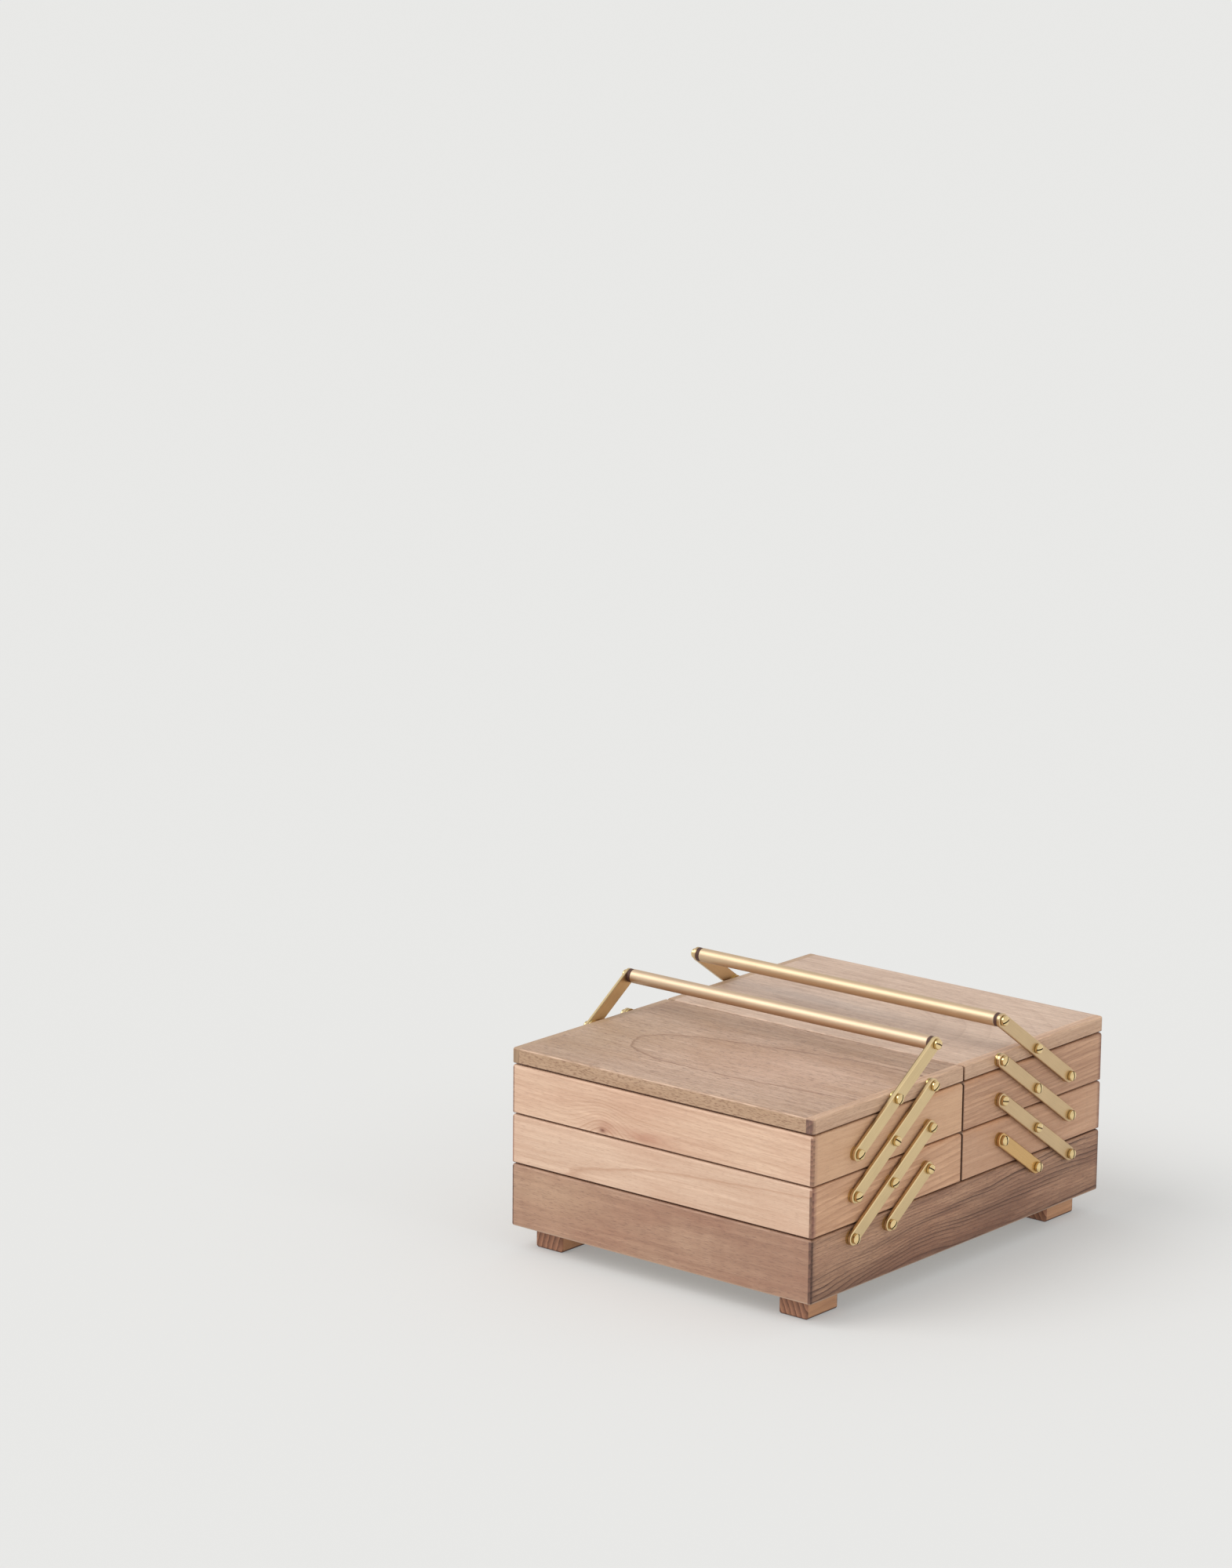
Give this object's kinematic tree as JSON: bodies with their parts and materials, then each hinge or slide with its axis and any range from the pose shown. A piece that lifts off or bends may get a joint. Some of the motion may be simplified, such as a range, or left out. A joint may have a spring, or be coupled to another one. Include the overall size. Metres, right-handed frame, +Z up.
{
  "type": "cantilever sewing box",
  "caption": "Wooden sewing box: two lids and stacked trays swing out to both sides on brass straps, with a round bar handle on each half.",
  "frame": {"origin": "on the floor under the middle of the closed box", "axes": "+X along the handles towards the right end, +Y across the box towards the far half (the way it opens), +Z up"},
  "size_m": [0.2768, 0.34, 0.1747],
  "materials": {
    "walnut_base": "oiled satin",
    "base_panel_wood": "sanded",
    "foot_wood": "oiled satin",
    "tray_panel_wood": "sanded",
    "tray_wood": "oiled satin",
    "lid_wood": "oiled satin",
    "washer_leather": "matt",
    "screw_brass": "polished",
    "spacer_brass": "satin",
    "strap_brass": "brushed satin",
    "bar_brass": "brushed satin"
  },
  "bodies": {
    "base": {"base_front_wall": "walnut_base", "base_rear_wall": "walnut_base", "base_left_end_wall": "walnut_base", "base_right_end_wall": "walnut_base", "base_bottom_panel": "base_panel_wood", "near_left_foot": "foot_wood", "near_right_foot": "foot_wood", "far_left_foot": "foot_wood", "far_right_foot": "foot_wood", "base_pivot_screws": "screw_brass", "base_spacer_washers": "spacer_brass"},
    "near_lower_link": {"near_lower_straps": "strap_brass"},
    "near_short_link": {"near_short_straps": "strap_brass"},
    "near_lower_tray": {"near_lower_tray_outer_wall": "tray_wood", "near_lower_tray_inner_wall": "tray_wood", "near_lower_tray_end_walls": "tray_wood", "near_lower_tray_bottom_panel": "tray_panel_wood", "near_lower_tray_pivot_screws": "screw_brass", "near_lower_tray_spacer_washers": "spacer_brass"},
    "near_upper_tray": {"near_upper_tray_outer_wall": "tray_wood", "near_upper_tray_inner_wall": "tray_wood", "near_upper_tray_end_walls": "tray_wood", "near_upper_tray_bottom_panel": "tray_panel_wood", "near_upper_tray_divider": "tray_panel_wood", "near_upper_tray_pivot_screws": "screw_brass", "near_upper_tray_spacer_washers": "spacer_brass"},
    "near_middle_link": {"near_middle_straps": "strap_brass"},
    "near_handle_link": {"near_handle_straps": "strap_brass"},
    "near_lid": {"near_lid_board": "lid_wood", "near_lid_end_cleats": "lid_wood", "near_lid_pivot_screws": "screw_brass", "near_lid_spacer_washers": "spacer_brass"},
    "near_handle": {"near_handle_bar": "bar_brass", "near_handle_washers": "washer_leather", "near_handle_screws": "screw_brass"},
    "far_lower_link": {"far_lower_straps": "strap_brass"},
    "far_short_link": {"far_short_straps": "strap_brass"},
    "far_lower_tray": {"far_lower_tray_outer_wall": "tray_wood", "far_lower_tray_inner_wall": "tray_wood", "far_lower_tray_end_walls": "tray_wood", "far_lower_tray_bottom_panel": "tray_panel_wood", "far_lower_tray_pivot_screws": "screw_brass", "far_lower_tray_spacer_washers": "spacer_brass"},
    "far_upper_tray": {"far_upper_tray_outer_wall": "tray_wood", "far_upper_tray_inner_wall": "tray_wood", "far_upper_tray_end_walls": "tray_wood", "far_upper_tray_bottom_panel": "tray_panel_wood", "far_upper_tray_divider": "tray_panel_wood", "far_upper_tray_pivot_screws": "screw_brass", "far_upper_tray_spacer_washers": "spacer_brass"},
    "far_middle_link": {"far_middle_straps": "strap_brass"},
    "far_handle_link": {"far_handle_straps": "strap_brass"},
    "far_lid": {"far_lid_board": "lid_wood", "far_lid_end_cleats": "lid_wood", "far_lid_pivot_screws": "screw_brass", "far_lid_spacer_washers": "spacer_brass"},
    "far_handle": {"far_handle_bar": "bar_brass", "far_handle_washers": "washer_leather", "far_handle_screws": "screw_brass"}
  },
  "joints": [
    {"name": "near_fold", "type": "hinge", "parent": "base", "child": "near_lower_link", "pos_m": [0, -0.1273, 0.0537], "axis": [1, 0, 0], "range_deg": [0, 111.38]},
    {"name": "near_lower_tray_pivot", "type": "hinge", "parent": "near_lower_link", "child": "near_lower_tray", "pos_m": [0, -0.0848, 0.0827], "axis": [1, 0, 0], "range_deg": [-111.38, 0]},
    {"name": "near_upper_tray_pivot", "type": "hinge", "parent": "near_lower_link", "child": "near_upper_tray", "pos_m": [0, -0.0423, 0.1117], "axis": [1, 0, 0], "range_deg": [-111.38, 0]},
    {"name": "near_short_link_pivot", "type": "hinge", "parent": "base", "child": "near_short_link", "pos_m": [0, -0.0863, 0.0537], "axis": [1, 0, 0], "range_deg": [0, 111.38]},
    {"name": "near_middle_link_pivot", "type": "hinge", "parent": "near_lower_tray", "child": "near_middle_link", "pos_m": [0, -0.1258, 0.0827], "axis": [1, 0, 0], "range_deg": [0, 111.38]},
    {"name": "near_handle_link_pivot", "type": "hinge", "parent": "near_upper_tray", "child": "near_handle_link", "pos_m": [0, -0.1243, 0.1117], "axis": [1, 0, 0], "range_deg": [0, 111.38]},
    {"name": "near_lid_pivot", "type": "hinge", "parent": "near_handle_link", "child": "near_lid", "pos_m": [0, -0.0818, 0.1407], "axis": [1, 0, 0], "range_deg": [-111.38, 0]},
    {"name": "near_handle_spin", "type": "hinge", "parent": "near_handle_link", "child": "near_handle", "pos_m": [0, -0.0393, 0.1697], "axis": [1, 0, 0], "continuous": true},
    {"name": "far_fold", "type": "hinge", "parent": "base", "child": "far_lower_link", "pos_m": [0, 0.1273, 0.0537], "axis": [-1, 0, 0], "range_deg": [0, 111.38]},
    {"name": "far_lower_tray_pivot", "type": "hinge", "parent": "far_lower_link", "child": "far_lower_tray", "pos_m": [0, 0.0848, 0.0827], "axis": [-1, 0, 0], "range_deg": [-111.38, 0]},
    {"name": "far_upper_tray_pivot", "type": "hinge", "parent": "far_lower_link", "child": "far_upper_tray", "pos_m": [0, 0.0423, 0.1117], "axis": [-1, 0, 0], "range_deg": [-111.38, 0]},
    {"name": "far_short_link_pivot", "type": "hinge", "parent": "base", "child": "far_short_link", "pos_m": [0, 0.0863, 0.0537], "axis": [-1, 0, 0], "range_deg": [0, 111.38]},
    {"name": "far_middle_link_pivot", "type": "hinge", "parent": "far_lower_tray", "child": "far_middle_link", "pos_m": [0, 0.1258, 0.0827], "axis": [-1, 0, 0], "range_deg": [0, 111.38]},
    {"name": "far_handle_link_pivot", "type": "hinge", "parent": "far_upper_tray", "child": "far_handle_link", "pos_m": [0, 0.1243, 0.1117], "axis": [-1, 0, 0], "range_deg": [0, 111.38]},
    {"name": "far_lid_pivot", "type": "hinge", "parent": "far_handle_link", "child": "far_lid", "pos_m": [0, 0.0818, 0.1407], "axis": [-1, 0, 0], "range_deg": [-111.38, 0]},
    {"name": "far_handle_spin", "type": "hinge", "parent": "far_handle_link", "child": "far_handle", "pos_m": [0, 0.0393, 0.1697], "axis": [1, 0, 0], "continuous": true}
  ],
  "couplings": [
    {"joint": "near_lower_tray_pivot", "follows": "near_fold", "ratio": -1},
    {"joint": "near_upper_tray_pivot", "follows": "near_fold", "ratio": -1},
    {"joint": "near_short_link_pivot", "follows": "near_fold", "ratio": 1},
    {"joint": "near_middle_link_pivot", "follows": "near_fold", "ratio": 1},
    {"joint": "near_handle_link_pivot", "follows": "near_fold", "ratio": 1},
    {"joint": "near_lid_pivot", "follows": "near_fold", "ratio": -1},
    {"joint": "far_lower_tray_pivot", "follows": "far_fold", "ratio": -1},
    {"joint": "far_upper_tray_pivot", "follows": "far_fold", "ratio": -1},
    {"joint": "far_short_link_pivot", "follows": "far_fold", "ratio": 1},
    {"joint": "far_middle_link_pivot", "follows": "far_fold", "ratio": 1},
    {"joint": "far_handle_link_pivot", "follows": "far_fold", "ratio": 1},
    {"joint": "far_lid_pivot", "follows": "far_fold", "ratio": -1}
  ]
}
